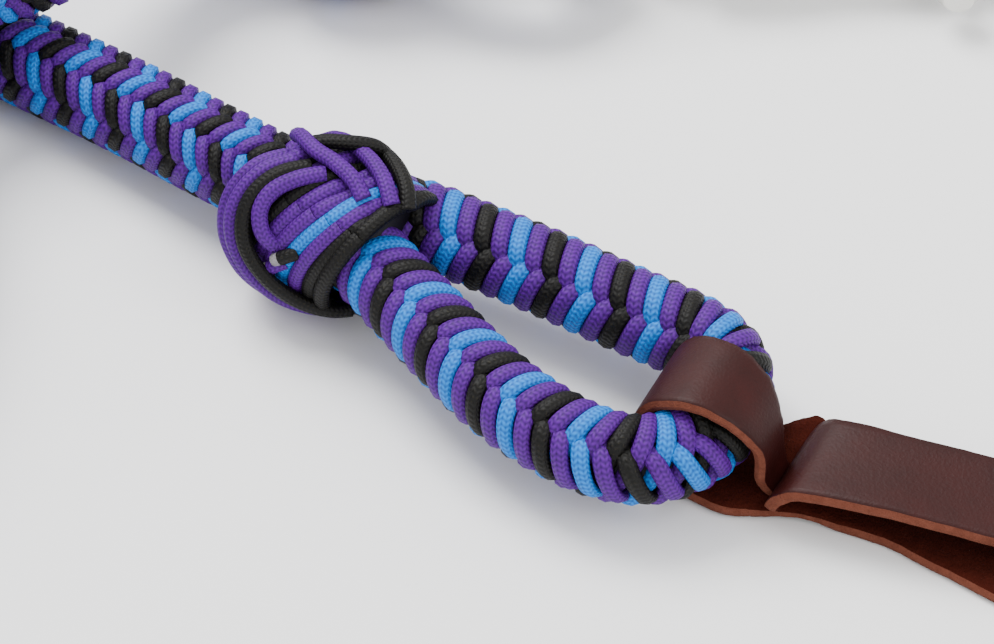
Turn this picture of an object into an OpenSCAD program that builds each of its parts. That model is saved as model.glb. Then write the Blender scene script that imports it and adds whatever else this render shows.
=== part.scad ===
// Braided lead rope: sixteen-plait rope in a stored coil, an eight-plait eye with a
// slit leather popper at one end, and a swivel bolt snap at the other.

/* [Rope] */
// Diameter of the sixteen-plait rope
rope_d = 16.5; // [15:0.5:17]
// Diameter of the eight-plait eye
eye_d = 15; // [13:0.5:15]
// Largest diameter of the covering knots
knot_d = 27; // [25:1:28]

/* [Coil] */
// Radius to the middle of the coil's turns
coil_r = 88; // [86:1:90]
// Number of turns across the coil's bundle
coil_across = 2; // [2:1:2]
// Number of turns up the coil's bundle
coil_up = 2; // [2:1:2]

/* [Popper] */
// Width of the leather strap
strap_w = 17; // [16:1:19]
// Thickness of the leather
strap_t = 2.4; // [2:0.2:2.6]
// Length of each tail beyond the slits
tail_l = 120; // [60:5:130]

/* [Snap] */
// Radius of the bolt
bolt_r = 3.1; // [2.8:0.1:3.2]
// Travel of the bolt when it is drawn back
bolt_travel = 11; // [8:1:12]
// Inside radius of the swivel eye
ring_in = 8.7; // [8.6:0.1:9]

/* [Hidden] */
org = [-64.13, 13.86, 0];    // middle of the footprint, moved to the origin
coil_c = [-193, 27, 0];     // centre of the coil
crown = [34.6, -24.8, 11.6]; // middle of the rope where the strap goes round it
crown_a = -26;              // direction of the strap from the crown
snap_at = [19, 90.6, 13.2];   // centre of the swivel eye
snap_dip = 5.4;             // the snap leans down on to its hook
clr = 0.05;

// route of the rope from the knot to the coil
standing_pts = [[-28,19.5,13.4],[-34,25.5,12.6],[-40,31,12],[-48,37.5,11.2],[-57,45,10.5],[-66,52,9.8],
                [-75,58.5,9.2],[-84,65,8.8],[-94,72,8.5],[-106,80.5,8.4],[-118,88.5,8.4],[-128,95.5,8.4],[-134,99.5,8.4]];
// route of the eye, out along the near leg and back along the far one
eye_pts = [[-15.5,1.5,13.2],[-10.6,-6,13],[-5,-14,12.8],[0.5,-20.8,12.5],[5.9,-26,12.3],[11.3,-30,12],
           [16.7,-32.7,11.8],[22,-33.8,11.7],[27.4,-32.4,11.6],[31.7,-29,11.6],[34.6,-24.8,11.6],[36.1,-20,11.6],
           [36.2,-14.5,11.6],[33.6,-9.4,11.6],[28.5,-5.5,11.7],[22.6,-2,11.8],[17.1,1.2,12],[11.6,4.6,12.2],
           [6.1,7.8,12.4],[0.5,10.8,12.6],[-5.1,13.8,12.8],[-10.4,16.6,13],[-14.8,18.2,13.2]];
// route of the other end, off the coil and across to the snap
end_pts = [[-97.2,38,25.5],[-96.8,46,25.8],[-93,54,26.2],[-86.5,59.5,26.6],[-79,63,26.8],[-71,68,26.6],[-64.5,76,24.6],
           [-58.5,85,20.6],[-52,90.6,17],[-45,92.6,14.6],[-38,91.9,13.5],[-31,90.8,13.3]];
// route of the small eye through the swivel eye
small_pts = [[-15,96.6,13.2],[-9,98.6,13.2],[-2,100.2,13.2],[4.5,100.8,13.2],[10.5,99.2,13.2],[14.4,95.6,13.2],[15.6,90.6,13.2],
             [14.4,85.6,13.2],[10.5,82,13.2],[4.5,80.4,13.2],[-2,81,13.2],[-9,82.6,13.2],[-15,84.6,13.2]];

function unit(v) = v / norm(v);
function tangent(p, i) = unit(p[min(i + 1, len(p) - 1)] - p[max(i - 1, 0)]);
function side(t) = unit(cross([0, 0, 1], t));
function ring(p, i, r, n) = let (t = tangent(p, i), s = side(t), u = cross(t, s))
    [for (k = [0:n - 1]) p[i] + r * (cos(360 * k / n) * s + sin(360 * k / n) * u)];
function spline(a, b, c, d, t) = 0.5 * (2 * b + (c - a) * t + (2 * a - 5 * b + 4 * c - d) * t * t
    + (3 * b - a - 3 * c + d) * t * t * t);
function smooth(p, n) = let (m = len(p) - 1) concat(
    [for (i = [0:m - 1], k = [0:n - 1]) spline(p[max(i - 1, 0)], p[i], p[i + 1], p[min(i + 2, m)], k / n)],
    [p[m]]);

// a round tube through the points of p
module tube(p, r, n) {
    m = len(p);
    rings = [for (i = [0:m - 1]) each ring(p, i, r, n)];
    sides = [for (i = [0:m - 2], k = [0:n - 1]) each [
        [i * n + k, i * n + (k + 1) % n, (i + 1) * n + (k + 1) % n],
        [i * n + k, (i + 1) * n + (k + 1) % n, (i + 1) * n + k]]];
    ends = [for (k = [1:n - 2]) each [[0, k + 1, k], [(m - 1) * n, (m - 1) * n + k, (m - 1) * n + k + 1]]];
    polyhedron(rings, concat([for (f = sides) [f[0], f[2], f[1]]], [for (f = ends) [f[0], f[2], f[1]]]));
}

module standing_rope() { color("rebeccapurple") tube(standing_pts, rope_d / 2, 12); }

module rope_coil() {
    half = rope_d / 2;
    color("mediumpurple") translate(coil_c) rotate_extrude($fn = 96)
        translate([coil_r - rope_d * coil_across / 2 - 0.5, 0])
            square([rope_d * coil_across + 1, rope_d * coil_up + 1]);
}

module rope_end() { color("rebeccapurple") tube(smooth(end_pts, 2), rope_d / 2, 12); }

module eye_loop() { color("deepskyblue") tube(smooth(eye_pts, 2), eye_d / 2, 12); }

// a covering knot on an axis along +X, with flat end faces
module knot(l, d, nose, tail) {
    rotate([0, 90, 0]) rotate_extrude($fn = 64) polygon([[0, -l / 2], [nose, -l / 2],
        [d * 0.43, -l * 0.3], [d / 2, -l * 0.08], [d / 2, l * 0.14], [d * 0.46, l * 0.34], [tail, l / 2], [0, l / 2]]);
}

module eye_knot() {
    color("indigo") translate([-25.5, 16, 13.6]) rotate([0, 0, -36]) knot(27, knot_d, rope_d / 2 + 0.6, 10.5);
}

module snap_knot() {
    color("indigo") translate([-24.5, 90.6, 13.2]) knot(22, knot_d - 1, rope_d / 2 + 0.6, 10.5);
}

module snap_eye_loop() { color("deepskyblue") tube(smooth(small_pts, 2), 11 / 2, 12); }

// a strap's edge view: a thick line through flat points
function offs(p, t, s) = [for (i = [0:len(p) - 1]) let (d = unit(p[min(i + 1, len(p) - 1)] - p[max(i - 1, 0)]))
    p[i] + s * t / 2 * [-d[1], d[0]]];
module ribbon(p, t, w) {
    a = offs(p, t, 1);
    b = offs(p, t, -1);
    rotate([90, 0, 0]) translate([0, 0, -w / 2]) linear_extrude(w)
        polygon(concat(a, [for (i = [len(b) - 1:-1:0]) b[i]]));
}

module popper_strap() {
    h = crown[2];
    color("saddlebrown") translate([crown[0], crown[1], 0]) rotate([0, 0, crown_a]) {
        // the band round the eye
        translate([-0.75, 0, h]) rotate([90, 0, 0]) translate([0, 0, -6]) linear_extrude(12) difference() {
            circle(r = h - 0.02, $fn = 64);
            circle(r = h - 0.02 - strap_t + 0.3, $fn = 64);
        }
        // the pinch where one side passes through the slit in the other
        translate([9.3, 0, 0]) ribbon([[0, h + 4], [2.5, h], [5, h - 4], [8, 5.4], [12, 4.2]], strap_t + 1.6, 9);
        translate([8.6, 1.4, 0]) ribbon([[-4, 2.2], [2, 2.1], [8, 2.4], [14, 2.6]], strap_t, strap_w);
        // the upper tail, grain side up
        translate([19.5, 0.8, 0]) rotate([0, 0, 9])
            ribbon([[-3, 2.2], [-1.5, 5.4], [2, 7.6], [8, 8.4], [25, 8], [50, 6.6], [80, 5], [tail_l, 4]], strap_t, strap_w);
        // the lower tail, flesh side up
        translate([19.5, 5.4, 0]) rotate([0, 0, -9])
            ribbon([[-6, 2.5], [4, 1.6], [12, 1.25], [60, 1.25], [tail_l, 1.25]], strap_t, strap_w);
    }
}

module place_snap() { translate(snap_at) rotate([0, snap_dip, 0]) children(); }

module swivel_eye() {
    color("silver") place_snap() {
        rotate([90, 0, 0]) rotate_extrude($fn = 64) translate([ring_in + 2.2, 0]) circle(r = 2.2, $fn = 32);
        translate([ring_in + 3.6, 0, 0]) rotate([0, 90, 0]) cylinder(r = 4, h = 3.2, $fn = 48);
        translate([ring_in + 3.6, 0, 0]) rotate([0, 90, 0]) cylinder(r = 2.6, h = 13.2, $fn = 48);
        translate([ring_in + 13.8, 0, 0]) rotate([0, 90, 0]) cylinder(r = 4.4, h = 3, $fn = 48);
    }
}

module swivel_washer() {
    color("darkgray") place_snap() translate([ring_in + 12.5, 0, 0]) rotate([0, 90, 0]) difference() {
        cylinder(r = 4.6, h = 0.8, $fn = 48);
        translate([0, 0, -1]) cylinder(r = 2.6 + clr, h = 3, $fn = 48);
    }
}

module snap_body() {
    color("silver") place_snap() difference() {
        union() {
            // swivel barrel
            translate([16.6, 0, 0]) rotate([0, 90, 0]) cylinder(r = 7.2, h = 14, $fn = 64);
            translate([30, 0, 0]) rotate([0, 90, 0]) cylinder(r = 5, h = 5, $fn = 48);
            // bolt barrel
            translate([33, 0, 0]) rotate([0, 90, 0]) cylinder(r = 5.8, h = 40, $fn = 64);
            // hook, and the tip that the bolt shuts against
            translate([81, 12.4, 0]) rotate([0, 0, -42]) rotate_extrude(angle = 260, $fn = 96)
                translate([12.8, 0]) circle(r = 3.7, $fn = 32);
            translate([87, 0.9, 0]) rotate([0, 90, 0]) cylinder(r = 4.3, h = 6, $fn = 48);
        }
        // bore of the swivel shank and the pocket of its head
        translate([10, 0, 0]) rotate([0, 90, 0]) cylinder(r = 2.6 + clr, h = 14, $fn = 48);
        translate([21.2, 0, 0]) rotate([0, 90, 0]) cylinder(r = 5, h = 6.4, $fn = 48);
        // bore of the bolt
        translate([32.5, 0, 0]) rotate([0, 90, 0]) cylinder(r = bolt_r + clr, h = 54.6, $fn = 64);
        // slot of the thumb stud
        translate([59.2 - 1.9 - bolt_travel, -12, -1.9]) cube([bolt_travel + 3.8, 12, 3.8]);
    }
}

module snap_bolt() {
    color("gainsboro") place_snap() difference() {
        translate([53, 0, 0]) rotate([0, 90, 0]) cylinder(r = bolt_r, h = 33.2, $fn = 64);
        translate([59.2, -8, 0]) rotate([-90, 0, 0]) cylinder(r = 1.55, h = 9, $fn = 32);
    }
}

module snap_thumb_stud() {
    color("gainsboro") place_snap() {
        translate([59.2, -12, 0]) rotate([-90, 0, 0]) cylinder(r = 1.55, h = 13, $fn = 32);
        translate([59.2, -9.4, 0]) rotate([90, 0, 0]) cylinder(r1 = 3.2, r2 = 3.9, h = 2, $fn = 48);
        translate([59.2, -11.4, 0]) rotate([90, 0, 0]) cylinder(r1 = 3.9, r2 = 2.6, h = 2.2, $fn = 48);
    }
}

module snap_spring() {
    n = 84;
    turns = 7;
    p = [for (i = [0:n]) [0.4 + 19.7 * i / n, 2.25 * cos(360 * turns * i / n), 2.25 * sin(360 * turns * i / n)]];
    color("dimgray") place_snap() translate([32.5, 0, 0]) tube(p, 0.4, 8);
}

module all_at_origin() { translate(-org) children(); }

all_at_origin() standing_rope();
all_at_origin() rope_coil();
all_at_origin() rope_end();
all_at_origin() eye_loop();
all_at_origin() eye_knot();
all_at_origin() popper_strap();
all_at_origin() snap_eye_loop();
all_at_origin() snap_knot();
all_at_origin() snap_body();
all_at_origin() snap_bolt();
all_at_origin() snap_thumb_stud();
all_at_origin() snap_spring();
all_at_origin() swivel_eye();
all_at_origin() swivel_washer();
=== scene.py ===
import bpy, math
import numpy as np
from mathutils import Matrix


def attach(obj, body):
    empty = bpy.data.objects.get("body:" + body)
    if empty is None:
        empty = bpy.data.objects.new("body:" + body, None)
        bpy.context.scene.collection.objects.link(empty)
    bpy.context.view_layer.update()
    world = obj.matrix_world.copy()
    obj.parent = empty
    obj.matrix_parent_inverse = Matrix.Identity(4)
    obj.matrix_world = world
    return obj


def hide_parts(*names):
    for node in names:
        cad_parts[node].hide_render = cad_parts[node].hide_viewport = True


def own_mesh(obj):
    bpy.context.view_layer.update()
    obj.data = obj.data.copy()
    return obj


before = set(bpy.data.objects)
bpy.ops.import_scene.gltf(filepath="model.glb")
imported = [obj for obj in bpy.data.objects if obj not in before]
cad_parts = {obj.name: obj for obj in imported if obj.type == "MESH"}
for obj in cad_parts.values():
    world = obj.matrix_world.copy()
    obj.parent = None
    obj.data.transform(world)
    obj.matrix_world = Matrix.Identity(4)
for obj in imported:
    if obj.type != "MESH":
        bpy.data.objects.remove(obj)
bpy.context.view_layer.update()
ORG = np.array([-64.13, 13.86, 0.0])          # mm, the CAD's own origin shift
CAM = np.array([0.0, -636.4, 644.4])
LOOK = np.array([0.0, math.cos(math.pi / 4), -math.sin(math.pi / 4)])
rng = np.random.default_rng(7)


def row(p):
    return (np.asarray(p, float) - ORG) / 1000.0


# ---------------------------------------------------------------- materials
def new_mat(name, color, rough=0.5, metal=0.0):
    m = bpy.data.materials.new(name)
    m.use_nodes = True
    nt = m.node_tree
    b = nt.nodes["Principled BSDF"]
    b.inputs["Base Color"].default_value = (*color, 1)
    b.inputs["Roughness"].default_value = rough
    b.inputs["Metallic"].default_value = metal
    return m, nt, b


def lin(c):
    return tuple((v / 255 / 12.92) if v / 255 <= 0.04045 else ((v / 255 + 0.055) / 1.055) ** 2.4 for v in c)


def node(nt, kind, **inputs):
    n = nt.nodes.new(kind)
    for k, v in inputs.items():
        n.inputs[int(k[1:])].default_value = v
    return n


def math_node(nt, op, a, b=None):
    n = nt.nodes.new("ShaderNodeMath")
    n.operation = op
    for i, v in enumerate((a, b)):
        if v is None:
            continue
        if isinstance(v, (int, float)):
            n.inputs[i].default_value = v
        else:
            nt.links.new(v, n.inputs[i])
    return n.outputs[0]


def cord_mat(name, dark, light, crest_glint=None):
    """a braided nylon sleeve: fine diamonds from the UVs, u in turns round the cord, v in mm along it"""
    m, nt, b = new_mat(name, lin(light), 0.5)
    L = nt.links
    uv = nt.nodes.new("ShaderNodeUVMap")
    uv.uv_map = "Weave"
    sep = nt.nodes.new("ShaderNodeSeparateXYZ")
    L.new(uv.outputs[0], sep.inputs[0])
    # the sleeve's own plait: ribs that run in a zigzag round the cord, with a groove between their arms
    arm = math_node(nt, "PINGPONG", math_node(nt, "MULTIPLY", sep.outputs[0], 12), 1.0)
    v = math_node(nt, "MULTIPLY", sep.outputs[1], 2 * math.pi / 0.78)
    rib = math_node(nt, "SINE", math_node(nt, "ADD", v, math_node(nt, "MULTIPLY", arm, math.pi * 1.1)))
    groove = math_node(nt, "SINE", math_node(nt, "MULTIPLY", arm, math.pi))
    hh = math_node(nt, "ADD", math_node(nt, "MULTIPLY", math_node(nt, "ADD", math_node(nt, "MULTIPLY", rib, 0.5), 0.5), 0.6),
                   math_node(nt, "MULTIPLY", groove, 0.4))
    tc = nt.nodes.new("ShaderNodeTexCoord")
    nz = nt.nodes.new("ShaderNodeTexNoise")
    nz.inputs["Scale"].default_value = 420
    L.new(tc.outputs["Object"], nz.inputs["Vector"])
    nz2 = nt.nodes.new("ShaderNodeTexNoise")
    nz2.inputs["Scale"].default_value = 2600
    L.new(tc.outputs["Object"], nz2.inputs["Vector"])
    # colour: painted shade in the weave's grooves and rib troughs and a lighter lit tone on the ribs, following the
    # height hh; the noise adds random tone
    fac = math_node(nt, "ADD", math_node(nt, "MULTIPLY", hh, 0.75), math_node(nt, "MULTIPLY", nz.outputs[0], 0.35))
    mix = nt.nodes.new("ShaderNodeMix")
    mix.data_type = "RGBA"
    mix.inputs[6].default_value = (*lin(dark), 1)
    mix.inputs[7].default_value = (*lin(light), 1)
    L.new(fac, mix.inputs[0])
    col = mix.outputs[2]
    if crest_glint:
        # painted glint: lighter brownish specks on the weave's crests, where hh and the fine noise are high
        mx = nt.nodes.new("ShaderNodeMix")
        mx.data_type = "RGBA"
        f = math_node(nt, "GREATER_THAN", math_node(nt, "MULTIPLY", nz2.outputs[0], hh), 0.52)
        L.new(math_node(nt, "MULTIPLY", f, 0.6), mx.inputs[0])
        L.new(col, mx.inputs[6])
        mx.inputs[7].default_value = (*lin(crest_glint), 1)
        col = mx.outputs[2]
    L.new(col, b.inputs["Base Color"])
    bump = nt.nodes.new("ShaderNodeBump")
    bump.inputs["Strength"].default_value = 0.55
    bump.inputs["Distance"].default_value = 0.00022
    L.new(math_node(nt, "ADD", hh, math_node(nt, "MULTIPLY", nz2.outputs[0], 0.35)), bump.inputs["Height"])
    L.new(bump.outputs[0], b.inputs["Normal"])
    b.inputs["Roughness"].default_value = 0.58
    b.inputs["Specular IOR Level"].default_value = 0.22
    return m


# each cord colour: a dark tone, the painted shade of the weave's hollows, and a light tone for its lit ribs
PURPLE = cord_mat("cord_purple", (26, 0, 56), (88, 16, 140))
BLUE = cord_mat("cord_blue", (0, 50, 128), (0, 132, 224))
# the third colour of the black cord is its painted crest glint
BLACK = cord_mat("cord_black", (1, 1, 1), (9, 7, 4), (36, 32, 20))
# near-black core: seen only through the gaps between the cords and inside the knots, its colour is the painted shade
# there
CORE_SHADE = cord_mat("cord_core_shade", (2, 0, 8), (8, 2, 22))
# the melted cord ends: real melted tips, coloured grey-white as a painted glint
MELT_GLINT, _nt, _b = new_mat("melted_end_glint", lin((176, 172, 176)), 0.55)
_n = _nt.nodes.new("ShaderNodeTexNoise")
_n.inputs["Scale"].default_value = 900
_bm = _nt.nodes.new("ShaderNodeBump")
_bm.inputs["Distance"].default_value = 0.0003
_nt.links.new(_n.outputs[0], _bm.inputs["Height"])
_nt.links.new(_bm.outputs[0], _b.inputs["Normal"])


def leather(name, a, c, rough, scale, bump_d, scale2=300, spec=0.5):
    m, nt, b = new_mat(name, lin(a), rough)
    L = nt.links
    tc = nt.nodes.new("ShaderNodeTexCoord")
    n1 = nt.nodes.new("ShaderNodeTexNoise")
    n1.inputs["Scale"].default_value = scale2
    n1.inputs["Detail"].default_value = 5
    n2 = nt.nodes.new("ShaderNodeTexVoronoi")
    n2.inputs["Scale"].default_value = scale
    n3 = nt.nodes.new("ShaderNodeTexNoise")
    n3.inputs["Scale"].default_value = scale * 1.7
    n3.inputs["Detail"].default_value = 6
    for n in (n1, n2, n3):
        L.new(tc.outputs["Object"], n.inputs["Vector"])
    mix = nt.nodes.new("ShaderNodeMix")
    mix.data_type = "RGBA"
    mix.inputs[6].default_value = (*lin(a), 1)
    mix.inputs[7].default_value = (*lin(c), 1)
    f = math_node(nt, "ADD", math_node(nt, "MULTIPLY", n1.outputs[0], 0.7), math_node(nt, "MULTIPLY", n3.outputs[0], 0.4))
    L.new(math_node(nt, "SUBTRACT", f, 0.1), mix.inputs[0])
    L.new(mix.outputs[2], b.inputs["Base Color"])
    h = math_node(nt, "ADD", math_node(nt, "MULTIPLY", n2.outputs[0], 0.6), n3.outputs[0])
    bump = nt.nodes.new("ShaderNodeBump")
    bump.inputs["Strength"].default_value = 0.6
    bump.inputs["Distance"].default_value = bump_d
    L.new(h, bump.inputs["Height"])
    L.new(bump.outputs[0], b.inputs["Normal"])
    b.inputs["Specular IOR Level"].default_value = spec * 0.36
    return m


GRAIN = leather("leather_grain", (28, 5, 4), (56, 14, 11), 0.5, 1500, 0.00008, 160)
FLESH = leather("leather_flesh", (34, 9, 6), (76, 30, 21), 0.95, 1900, 0.0005, 420, 0.1)
EDGE = leather("leather_edge", (72, 34, 24), (128, 76, 60), 0.85, 2600, 0.0003, 700, 0.15)


def metal(name, color, rough):
    m, nt, b = new_mat(name, color, rough, 1.0)
    tc = nt.nodes.new("ShaderNodeTexCoord")
    n = nt.nodes.new("ShaderNodeTexNoise")
    n.inputs["Scale"].default_value = 240
    n.inputs["Detail"].default_value = 4
    nt.links.new(tc.outputs["Object"], n.inputs["Vector"])
    nt.links.new(math_node(nt, "ADD", math_node(nt, "MULTIPLY", n.outputs[0], 0.16), rough - 0.08), b.inputs["Roughness"])
    bump = nt.nodes.new("ShaderNodeBump")
    bump.inputs["Strength"].default_value = 0.25
    bump.inputs["Distance"].default_value = 0.00008
    nt.links.new(n.outputs[0], bump.inputs["Height"])
    nt.links.new(bump.outputs[0], b.inputs["Normal"])
    return m


NICKEL = metal("nickel", (0.62, 0.61, 0.58), 0.26)
STEEL = metal("spring_wire", (0.4, 0.4, 0.41), 0.38)


# ---------------------------------------------------------------- geometry helpers
def unit(v):
    v = np.asarray(v, float)
    return v / np.maximum(np.linalg.norm(v, axis=-1, keepdims=True), 1e-12)


def resample(p, step):
    d = np.r_[0, np.cumsum(np.linalg.norm(np.diff(p, axis=0), axis=1))]
    n = max(2, int(round(d[-1] / step)) + 1)
    s = np.linspace(0, d[-1], n)
    return np.stack([np.interp(s, d, p[:, k]) for k in range(3)], 1), s


def catmull(p, n=12):
    p = np.asarray(p, float)
    q = np.vstack([2 * p[0] - p[1], p, 2 * p[-1] - p[-2]])
    t = np.linspace(0, 1, n, endpoint=False)[:, None]
    out = []
    for i in range(len(p) - 1):
        a, b, c, d = q[i:i + 4]
        out.append(0.5 * (2 * b + (c - a) * t + (2 * a - 5 * b + 4 * c - d) * t ** 2 + (3 * b - a - 3 * c + d) * t ** 3))
    return np.vstack(out + [p[-1:]])


class Line:
    """a path in mm with a frame turned towards the camera: e1 faces it, e2 is across"""

    def __init__(self, pts, step=1.0, twist=None):
        self.p, self.s = resample(np.asarray(pts, float), step)
        k = 3
        for _ in range(3):
            self.p[1:-1] = 0.25 * self.p[:-2] + 0.5 * self.p[1:-1] + 0.25 * self.p[2:]
        self.s = np.r_[0, np.cumsum(np.linalg.norm(np.diff(self.p, axis=0), axis=1))]
        self.t = unit(np.gradient(self.p, axis=0))
        e1 = -LOOK - (self.t @ -LOOK)[:, None] * self.t
        self.e1 = unit(e1)
        self.e2 = np.cross(self.t, self.e1)

    def at(self, s):
        g = lambda a: np.stack([np.interp(s, self.s, a[:, k]) for k in range(3)], 1)
        return g(self.p), unit(g(self.t)), unit(g(self.e1)), unit(g(self.e2))


def tube_mesh(name, pts, half_w, half_t, out, mat, sides=8, close=True, vlen=None):
    """an oval tube along pts (mm); out is the direction each ring's thin axis points"""
    pts = np.asarray(pts, float)
    t = unit(np.gradient(pts, axis=0))
    o = unit(out - np.sum(out * t, 1)[:, None] * t)
    w = np.cross(t, o)
    ang = np.arange(sides) * 2 * math.pi / sides
    half_w = np.broadcast_to(half_w, len(pts))
    half_t = np.broadcast_to(half_t, len(pts))
    ring = pts[:, None] + np.cos(ang)[None, :, None] * (w * half_w[:, None])[:, None] + np.sin(ang)[None, :, None] * (o * half_t[:, None])[:, None]
    n = len(pts)
    v = ring.reshape(-1, 3)
    i = np.arange(n - 1)[:, None] * sides
    k = np.arange(sides)[None]
    k2 = (k + 1) % sides
    f = np.stack([i + k, i + k2, i + sides + k2, i + sides + k], -1).reshape(-1, 4)[:, ::-1]
    s = np.r_[0, np.cumsum(np.linalg.norm(np.diff(pts, axis=0), axis=1))]
    uu = np.stack([np.broadcast_to(k / sides, (n - 1, sides)), np.broadcast_to((k + 1) / sides, (n - 1, sides)),
                   np.broadcast_to((k + 1) / sides, (n - 1, sides)), np.broadcast_to(k / sides, (n - 1, sides))], -1)
    vv = np.stack([np.broadcast_to(s[:-1, None], (n - 1, sides))] * 2 + [np.broadcast_to(s[1:, None], (n - 1, sides))] * 2, -1)
    uvs = np.stack([uu, vv], -1).reshape(-1, 4, 2)[:, ::-1].reshape(-1, 2)
    me = bpy.data.meshes.new(name)
    faces = f.tolist()
    faces.append(list(range(sides)))
    faces.append([(n - 1) * sides + j for j in range(sides)][::-1])
    me.from_pydata(row(v).tolist(), [], faces)
    uvl = me.uv_layers.new(name="Weave")
    full = np.zeros((len(me.loops), 2), "f")
    full[:len(uvs)] = uvs
    uvl.data.foreach_set("uv", full.ravel())
    me.polygons.foreach_set("use_smooth", [True] * len(me.polygons))
    ob = bpy.data.objects.new(name, me)
    bpy.context.scene.collection.objects.link(ob)
    me.materials.append(mat)
    return ob


def braid(name, line, n, pitch, outer, width, thick, phi_c, seq, same_off, s_fine, r_scale=None, sides=8,
          fine=56, coarse=26, s0=0.0, s1=None, body="rope"):
    """n cords each way round a core, over two and under two"""
    s1 = line.s[-1] if s1 is None else s1
    amp = thick * 0.44
    rm = outer - amp - thick / 2
    m = n / 2
    out = []
    # rings: closer together where the rope is seen from near by
    ds = []
    s = s0
    while s < s1:
        ds.append(s)
        s += pitch / (fine if s_fine[0] <= s <= s_fine[1] else coarse)
    ds.append(s1)
    ds = np.array(ds)
    P, T, E1, E2 = line.at(ds)
    sc = np.ones(len(ds)) if r_scale is None else r_scale(ds)
    for way in (1, -1):
        for i in range(n):
            base = phi_c + math.pi / (2 * n) + 2 * math.pi * i / n
            phi = base * 1.0 + way * 2 * math.pi * ds / pitch
            x = np.cos(m * (phi - phi_c))
            sq = np.tanh(2.2 * x) / math.tanh(2.2)
            rr = (rm + way * amp * sq) * sc
            d = np.cos(phi)[:, None] * E1 + np.sin(phi)[:, None] * E2
            pts = P + d * rr[:, None]
            if way == 1:
                col = seq[i % 4]
            else:
                col = seq[(same_off - i) % 4]
            ob = tube_mesh(f"{name}_{'a' if way > 0 else 'b'}{i + 1}", pts, width / 2 * sc, thick / 2 * sc, d, col, sides)
            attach(ob, body)
            out.append(ob)
    return out


def core(name, line, r, s0, s1, step, mat=None, sides=12, body="rope"):
    ss = np.linspace(s0, s1, max(2, int((s1 - s0) / step)))
    P, T, E1, E2 = line.at(ss)
    ob = tube_mesh(name, P, r, r, E1, mat or CORE_SHADE, sides)
    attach(ob, body)
    return ob, P


# ---------------------------------------------------------------- routes (mm)
def hermite(knots, x):
    k = np.array(knots, float)
    xs, ys = k[:, 0], k[:, 1]
    h = np.diff(xs)
    d = np.diff(ys) / h
    m = np.zeros(len(xs))
    for i in range(1, len(xs) - 1):
        if d[i - 1] * d[i] > 0:
            w1, w2 = 2 * h[i] + h[i - 1], h[i] + 2 * h[i - 1]
            m[i] = (w1 + w2) / (w1 / d[i - 1] + w2 / d[i])
    j = np.clip(np.searchsorted(xs, x, side="right") - 1, 0, len(h) - 1)
    t = (x - xs[j]) / h[j]
    return (ys[j] * (1 + 2 * t) * (1 - t) ** 2 + h[j] * m[j] * t * (1 - t) ** 2 + ys[j + 1] * t * t * (3 - 2 * t)
            + h[j] * m[j + 1] * t * t * (t - 1))


standing = [[-24, 15, 13.5], [-28, 19.5, 13.4], [-34, 25.5, 12.6], [-40, 31, 12], [-48, 37.5, 11.2], [-57, 45, 10.5], [-66, 52, 9.8],
            [-75, 58.5, 9.2], [-84, 65, 8.8], [-94, 72, 8.5], [-106, 80.5, 8.45], [-118, 88.5, 8.45], [-128, 95.5, 8.45]]
f = np.linspace(0.0, 3.876, 420)
ang = np.radians(51 + 360 * f)
rad = hermite([(0, 94), (0.06, 96.5), (0.70, 96.5), (0.96, 79), (1.0, 77.4), (1.06, 78.4), (1.15, 79.5), (1.55, 79.5),
               (1.876, 66.3), (1.96, 69), (2.1, 79), (2.2, 79.5), (2.76, 79.5), (2.876, 81), (2.95, 86), (3.02, 92), (3.12, 96.5),
               (3.876, 96.6)], f)
zz = hermite([(0, 8.5), (1.76, 8.5), (1.98, 25.5), (3.9, 25.5)], f)
coil = np.stack([-193 + rad * np.cos(ang), 27 + rad * np.sin(ang), zz], 1)
tail = [[-96.8, 46, 25.8], [-93, 54, 26.2], [-86.5, 59.5, 26.6], [-79, 63, 26.8], [-71, 68, 26.6], [-64.5, 76, 24.6],
        [-58.5, 85, 20.6], [-52, 90.6, 17], [-45, 92.6, 14.6], [-38, 91.9, 13.5], [-31, 90.8, 13.3], [-24, 90.6, 13.2]]
rope_pts = np.vstack([catmull(standing, 10), coil, catmull(tail, 10)])
rope = Line(rope_pts, 1.5)
eye_pts = [[-22, 11, 13.6], [-19, 6, 13.4], [-15.5, 1.0, 13.2], [-10.6, -6, 13], [-5, -14, 12.8], [0.5, -20.8, 12.5], [5.9, -26, 12.3], [11.3, -30, 12],
           [16.7, -32.7, 11.8], [22, -33.8, 11.7], [27.4, -32.4, 11.6], [31.7, -29, 11.6], [34.6, -24.8, 11.6], [36.1, -20, 11.6],
           [36.2, -14.5, 11.6], [33.6, -9.4, 11.6], [28.5, -5.5, 11.7], [22.6, -2, 11.8], [17.1, 1.2, 12], [11.6, 4.6, 12.2],
           [6.1, 7.8, 12.4], [0.5, 10.8, 12.6], [-5.1, 13.8, 12.8], [-10.4, 16.6, 13], [-14.8, 18.2, 13.2], [-19, 18.6, 13.4], [-22.5, 18.2, 13.6]]
eye = Line(catmull(eye_pts, 10), 0.8)
small_pts = [[-22, 92.5, 13.2], [-15, 94.6, 13.2], [-9, 97, 13.2], [-2, 98.6, 13.2], [4.5, 99.2, 13.2], [10.5, 97.6, 13.2], [14.6, 94, 13.2], [15.9, 89, 13.2],
             [14.6, 84, 13.2], [10.5, 80.4, 13.2], [4.5, 78.8, 13.2], [-2, 79.4, 13.2], [-9, 81, 13.2], [-15, 83.4, 13.2], [-22, 85.5, 13.2]]
small = Line(catmull(np.array(small_pts) + [0, 1.6, 0], 10), 0.8)

SEQ = [PURPLE, BLUE, PURPLE, BLACK]
rad_ = math.radians

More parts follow.
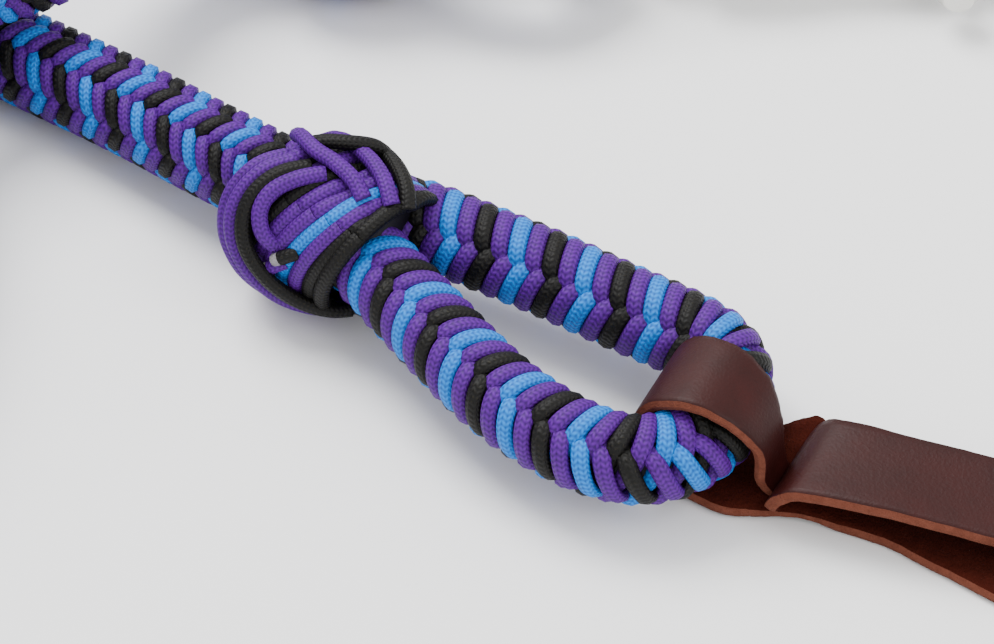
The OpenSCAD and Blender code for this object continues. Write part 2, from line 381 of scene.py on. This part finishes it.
# ---------------------------------------------------------------- the rope, its eyes and their cores
L0 = float(rope.s[-1])
core_ob, core_path = core("rope_core", rope, 5.85, 0, L0, 2.5)
strands = braid("rope_cord", rope, 8, 22.8, 8.2, 2.75, 2.1, rad_(-12.5), SEQ, 2, (0, 150), sides=6)
eye_core, _p = core("eye_core", eye, 4.9, 0, float(eye.s[-1]), 1.2)
braid("eye_cord", eye, 4, 12.4, 7.5, 3.1, 2.1, rad_(40), SEQ, 2, (0, 999), sides=8)
small_core, _p = core("snap_eye_core", small, 3.4, 0, float(small.s[-1]), 1.2)
braid("snap_eye_cord", small, 4, 10.5, 5.4, 2.5, 1.6, rad_(40), SEQ, 2, (0, 0), sides=6, coarse=28)


# ---------------------------------------------------------------- covering knots
def covering_knot(name, centre, heading, half, rmax, cols, tilt, seed, seen=True):
    a = np.array([math.cos(heading), math.sin(heading), 0])
    e1 = unit(-LOOK - (a @ -LOOK) * a)
    e2 = np.cross(a, e1)
    c = np.array(centre, float)
    r = np.random.default_rng(seed)
    # a dark inner barrel, painted shade for the gaps between the wraps, so that no gap shows through
    xs = np.linspace(-half * 0.8, half * 0.8, 16)
    prof = lambda x: rmax * np.sqrt(np.clip(1 - (np.abs(x) / (half * 1.55)) ** 2.4, 0.02, 1))
    ob = tube_mesh(name + "_inside", c + xs[:, None] * a, prof(xs) - 3.9, prof(xs) - 3.9, np.broadcast_to(e1, (16, 3)), CORE_SHADE, 24)
    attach(ob, "rope")
    n = len(cols)
    th = np.linspace(0, 2 * math.pi, 73)
    made = [ob]
    for i, m in enumerate(cols):
        x0 = (-half + 2 * half * (i + 0.5) / n)
        # each wrap leans, and dives under its neighbours at the back where the bights cross
        x = x0 * 0.93 - tilt * np.sin(th)
        x = half * 1.02 * np.tanh(x / half * 1.06)
        dive = 0.9 * np.exp(-((np.mod(th - rad_(200) - 0.5 * (i % 2) + math.pi, 2 * math.pi) - math.pi) / 0.4) ** 2)
        top = 0.85 * np.exp(-((np.mod(th - rad_(302) - 0.28 * (i % 3) + math.pi, 2 * math.pi) - math.pi) / 0.22) ** 2)
        rr = prof(np.clip(x, -half * 1.1, half * 1.1)) - 1.35 - dive - top + 0.12 * r.standard_normal()
        d = np.cos(th)[:, None] * e1 + np.sin(th)[:, None] * e2
        pts = c + x[:, None] * a + d * rr[:, None]
        ob = tube_mesh(f"{name}_wrap{i + 1}", pts, 1.42, 1.25, d, m, 10)
        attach(ob, "rope")
        made.append(ob)
    return c, a, e1, e2, prof


def surf_cord(name, c, a, e1, e2, pts, mat, w=1.4, t=1.25):
    """a cord over a knot through (x along the axis, angle in degrees, height over the wraps)"""
    k = np.array(pts, float)
    k = catmull(k, 10)
    th = np.radians(k[:, 1])
    d = np.cos(th)[:, None] * e1 + np.sin(th)[:, None] * e2
    p = c + k[:, 0][:, None] * a + d * k[:, 2][:, None]
    ob = tube_mesh(name, p, w, t, d, mat, 10)
    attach(ob, "rope")
    return ob


kc = covering_knot("eye_knot", (-25.5, 16, 13.7), rad_(-36), 13.6, 13.4,
                   [PURPLE, BLACK, PURPLE, BLACK, PURPLE, PURPLE, BLUE, PURPLE, BLACK, BLACK], 6.6, 3)
c, a, e1, e2, prof = kc
# bights that cross the wraps at the upper right
surf_cord("eye_knot_bight1", c, a, e1, e2, [(-9, -84, 11.0), (-5.5, -74, 13.0), (-1, -64, 14.0), (4, -56, 14.0), (8.5, -46, 13.2), (11.5, -36, 11.6)], PURPLE)
surf_cord("eye_knot_bight2", c, a, e1, e2, [(-5, -92, 11.2), (-1, -84, 13.2), (4, -75, 14.0), (8.4, -64, 13.4), (11.6, -54, 12.2), (13.4, -44, 10.4)], BLACK)
surf_cord("eye_knot_bight3", c, a, e1, e2, [(-11, -60, 11.6), (-8.4, -48, 13.6), (-4.4, -40, 14.3), (0, -38, 14.2), (4.4, -34, 13.6), (7.4, -27, 12.4)], PURPLE)
surf_cord("eye_knot_bight4", c, a, e1, e2, [(3.4, -96, 11.4), (3.4, -84, 13.2), (2.2, -70, 14.9), (-0.6, -58, 15.1), (-4.4, -50, 14.4), (-7.6, -46, 12.6)], BLACK)
# the bight that stands out at the lower left, round the two melted ends
surf_cord("eye_knot_low1", c, a, e1, e2, [(-6.5, -30, 12.6), (-9.6, -12, 13.2), (-11.4, 8, 13.3), (-11.6, 28, 13.5), (-9.8, 48, 14.1), (-6.2, 66, 14.6), (-1.4, 82, 14.4), (3.4, 96, 13), (6.6, 108, 11)], PURPLE)
surf_cord("eye_knot_low2", c, a, e1, e2, [(-3.6, -30, 12.8), (-7.0, -12, 13.8), (-8.9, 6, 14.1), (-9.0, 24, 14.3), (-7.2, 42, 14.7), (-3.4, 58, 14.8), (1.4, 72, 14.2), (5.6, 84, 12.8), (8.4, 96, 10.8)], BLACK)
surf_cord("eye_knot_low3", c, a, e1, e2, [(-9.0, -36, 11.0), (-12.0, -14, 11.6), (-13.8, 8, 11.4), (-14.0, 30, 11.7), (-12.4, 52, 12.8), (-9.0, 74, 13.8), (-4.2, 94, 14), (1, 108, 13), (5, 120, 11)], PURPLE)
surf_cord("eye_knot_low4", c, a, e1, e2, [(-0.6, -30, 13.0), (-4.0, -14, 13.8), (-6.2, 0, 14.2), (-6.6, 14, 14.3), (-5.2, 27, 14.0), (-3.2, 36, 12.6)], PURPLE)
# two cut ends, each tipped with a melted end in the painted-glint grey-white
for i, (x, th) in enumerate([(-1.8, 41), (-3.8, 54)]):
    surf_cord(f"eye_knot_end{i + 1}", c, a, e1, e2, [(x + 2.8, th - 8, 12.2), (x + 1.5, th - 4, 13.0), (x + 0.3, th, 13.4)], PURPLE if i else BLACK, 1.2, 1.1)
    surf_cord(f"eye_knot_melt{i + 1}", c, a, e1, e2, [(x + 0.5, th - 0.8, 13.4), (x - 0.2, th + 1.4, 13.6), (x - 0.6, th + 2.8, 13.5)], MELT_GLINT, 1.1, 1.0)

covering_knot("snap_knot", (-24.5, 90.6, 13.2), 0.0, 11, 12.9,
              [PURPLE, BLACK, PURPLE, BLUE, PURPLE, PURPLE, BLACK, PURPLE], 1.6, 5)

# ---------------------------------------------------------------- the leather popper
CR = np.array([34.6, -24.8, 0.0])
CA = rad_(-26)
XA = np.array([math.cos(CA), math.sin(CA), 0])
YA = np.array([-math.sin(CA), math.cos(CA), 0])
H = 11.6


def loc(x, y, z):
    return CR + x * XA + y * YA + np.array([0, 0, z])


def strap(name, ribs, thick, up_mat, down_mat, nw=10, wob=0.25, seed=1, cup=0.0, fuzzy=0.0):
    """ribs are (left edge, right edge) points in mm; up_mat is on the side that cross(right - left, along) points to"""
    A = catmull([q[0] for q in ribs], 9)
    B = catmull([q[1] for q in ribs], 9)
    n = len(A)
    mid = 0.5 * (A + B)
    t = unit(np.gradient(mid, axis=0))
    w = unit(B - A)
    nor = unit(np.cross(w, t))
    g = np.random.default_rng(seed)
    u = np.linspace(0, 1, nw)
    noiseA = np.convolve(g.standard_normal(n + 8), np.ones(5) / 5, "same")[:n] * (wob + fuzzy)
    noiseB = np.convolve(g.standard_normal(n + 8), np.ones(5) / 5, "same")[:n] * wob
    A = A + w * noiseA[:, None]
    B = B + w * noiseB[:, None]
    base = A[:, None] * (1 - u)[None, :, None] + B[:, None] * u[None, :, None]
    base = base + nor[:, None] * (cup * (4 * (u - 0.5) ** 2))[None, :, None]
    top = base + nor[:, None] * thick / 2
    bot = base - nor[:, None] * thick / 2
    edge = min(0.35, thick * 0.2)
    top[:, 0] += w * edge - nor * 0.15
    top[:, -1] -= w * edge + nor * 0.15
    bot[:, 0] += w * edge + nor * 0.1
    bot[:, -1] -= w * edge - nor * 0.1
    eA = base[:, :1] - 0
    eB = base[:, -1:] + 0
    ringv = np.concatenate([top, eB, bot[:, ::-1], eA], 1)
    m = ringv.shape[1]
    v = ringv.reshape(-1, 3)
    faces, mats = [], []
    kind = [0] * (nw - 1) + [2, 2] + [1] * (nw - 1) + [2, 2]
    for i in range(n - 1):
        for k in range(m):
            k2 = (k + 1) % m
            faces.append([i * m + k, i * m + k2, (i + 1) * m + k2, (i + 1) * m + k])
            mats.append(kind[k])
    faces.append(list(range(m))[::-1])
    faces.append([(n - 1) * m + k for k in range(m)])
    mats += [2, 2]
    me = bpy.data.meshes.new(name)
    me.from_pydata(row(v).tolist(), [], faces)
    for mt in (up_mat, down_mat, EDGE):
        me.materials.append(mt)
    me.polygons.foreach_set("material_index", mats)
    me.polygons.foreach_set("use_smooth", [k != 2 for k in mats])
    me.update()
    ob = bpy.data.objects.new(name, me)
    bpy.context.scene.collection.objects.link(ob)
    bpy.context.view_layer.objects.active = ob
    ob.select_set(True)
    bpy.ops.object.mode_set(mode="EDIT")
    bpy.ops.mesh.select_all(action="SELECT")
    bpy.ops.mesh.normals_make_consistent(inside=False)
    bpy.ops.object.mode_set(mode="OBJECT")
    ob.select_set(False)
    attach(ob, "popper")
    return ob


def arc(deg, w, r=10.0, dy=0.0):
    q = rad_(deg)
    x, z = -0.75 + r * math.cos(q), H + r * math.sin(q)
    return (loc(x, w / 2 + dy, z), loc(x, -w / 2 + dy, z))


# band: up out of the slit, over the rope, down inside the eye, under, and away along the surface
band = [(loc(13.4, 2.4, 1.3), loc(12.8, -3.8, 1.3)), (loc(11.6, 2.0, 3.6), loc(10.9, -4.6, 3.4)), (loc(10.0, 1.7, 6.8), loc(9.4, -5.6, 6.8)), arc(4, 7.6, 10.1, -2.2), arc(24, 9.8, 9.8, -2.0), arc(50, 12.8, 9.7, -1.7),
        arc(78, 14.8, 9.7, -1.4), arc(105, 16.0, 9.7, -1), arc(140, 16.5, 9.8, -0.5), arc(180, 16, 10), arc(215, 16, 10), arc(245, 16.5, 10), (loc(-1, 8.6, 1.7), loc(-1, -8.6, 1.5)),
        (loc(5, 9.4, 2.4), loc(5, -9.2, 1.5)), (loc(8.5, 10.0, 5.4), loc(9, -7.8, 1.5)), (loc(12, 10.4, 7.6), loc(13, -6.2, 1.5)),
        (loc(16.0, 10.2, 7.0), loc(17.5, -5.0, 1.5)), (loc(22, 12.6, 2.6), loc(23.5, -4.6, 1.3)), (loc(31, 12.5, 1.3), loc(31, -4.4, 1.25))]
hb = rad_(-9)
c0 = np.array([31.0, 4.0])
for q in (12, 30, 55, 80, 106):
    x = c0 + q * np.array([math.cos(hb), math.sin(hb)])
    nrm = np.array([-math.sin(hb), math.cos(hb)])
    band.append((loc(*(x + nrm * 8.5), 1.3), loc(*(x - nrm * 8.5), 1.25)))
strap("popper_band", band, 2.1, FLESH, GRAIN, 12, 0.15, 4, 0.0, 0.25)
ht = rad_(9)
top = [(loc(11.6, 3.5, 2.4), loc(12.6, -6.6, 2.6)), (loc(12.4, 6.6, 4.6), loc(12.6, -8.0, 4.4)), (loc(14.8, 9.2, 8.2), loc(14.0, -8.4, 6.8)), (loc(18.4, 9.4, 9.6), loc(17.6, -7.8, 8.6))]
c1 = np.array([19.5, 0.8])
for q, z in ((8, 9.6), (20, 9.0), (38, 7.9), (60, 6.4), (80, 5.3), (100, 4.5), (119, 3.9)):
    x = c1 + q * np.array([math.cos(ht), math.sin(ht)])
    nrm = np.array([-math.sin(ht), math.cos(ht)])
    top.append((loc(*(x + nrm * 8.3), z), loc(*(x - nrm * 8.3), z - 0.4)))
strap("popper_top_tail", top, 2.2, GRAIN, FLESH, 12, 0.15, 9, 0.35)

# ---------------------------------------------------------------- the snap keeps its CAD shape
for n in ("swivel_eye", "swivel_washer", "snap_body", "snap_bolt", "snap_thumb_stud"):
    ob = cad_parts[n]
    ob.data.materials.clear()
    ob.data.materials.append(NICKEL)
DIP = rad_(5.4)
SX = np.array([math.cos(DIP), 0, -math.sin(DIP)])
SZ = np.array([math.sin(DIP), 0, math.cos(DIP)])
SC = np.array([19.0, 90.6, 13.2])
q = np.linspace(0, 1, 150)
sp = SC + (32.9 + 19.7 * q)[:, None] * SX + 2.25 * (np.cos(14 * math.pi * q)[:, None] * np.array([0, 1.0, 0]) + np.sin(14 * math.pi * q)[:, None] * SZ)
spring = tube_mesh("bolt_spring_wire", sp, 0.4, 0.4, np.broadcast_to(SX, sp.shape), STEEL, 8)
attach(spring, "snap")
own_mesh(spring)
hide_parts("snap_spring")

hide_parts("standing_rope", "rope_coil", "rope_end")
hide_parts("eye_loop")
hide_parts("snap_eye_loop")
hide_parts("eye_knot")
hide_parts("snap_knot")
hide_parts("popper_strap")

# ---------------------------------------------------------------- floor, light, camera
bpy.ops.mesh.primitive_plane_add(size=6)
floor = bpy.context.object
floor.name = "floor"
fm, _fn, fb = new_mat("floor_white", (0.93, 0.93, 0.93), 0.9)
fb.inputs["Specular IOR Level"].default_value = 0.0
floor.data.materials.append(fm)

world = bpy.data.worlds.new("studio")
bpy.context.scene.world = world
world.use_nodes = True
world.node_tree.nodes["Background"].inputs[0].default_value = (1, 1, 1, 1)
world.node_tree.nodes["Background"].inputs[1].default_value = 1.25


def area(name, loc_, look, size, power):
    d = bpy.data.lights.new(name, "AREA")
    d.energy = power
    d.size = size
    o = bpy.data.objects.new(name, d)
    bpy.context.scene.collection.objects.link(o)
    o.location = loc_
    v = np.array(look) - np.array(loc_)
    import mathutils
    o.rotation_euler = mathutils.Vector(v).to_track_quat("-Z", "Y").to_euler()
    return o


mid = row([0, 0, 8])
area("key", (mid[0] - 0.35, mid[1] + 0.45, 0.9), mid, 0.6, 16)
area("fill", (mid[0] + 0.7, mid[1] - 0.5, 0.8), mid, 0.8, 7)

cam_d = bpy.data.cameras.new("camera")
cam = bpy.data.objects.new("camera", cam_d)
bpy.context.scene.collection.objects.link(cam)
cam.location = row(CAM)
cam.rotation_euler = (math.radians(45), 0, 0)
cam_d.lens = 205
cam_d.sensor_width = 36
cam_d.clip_start = 0.01
cam_d.clip_end = 20
bpy.context.scene.camera = cam
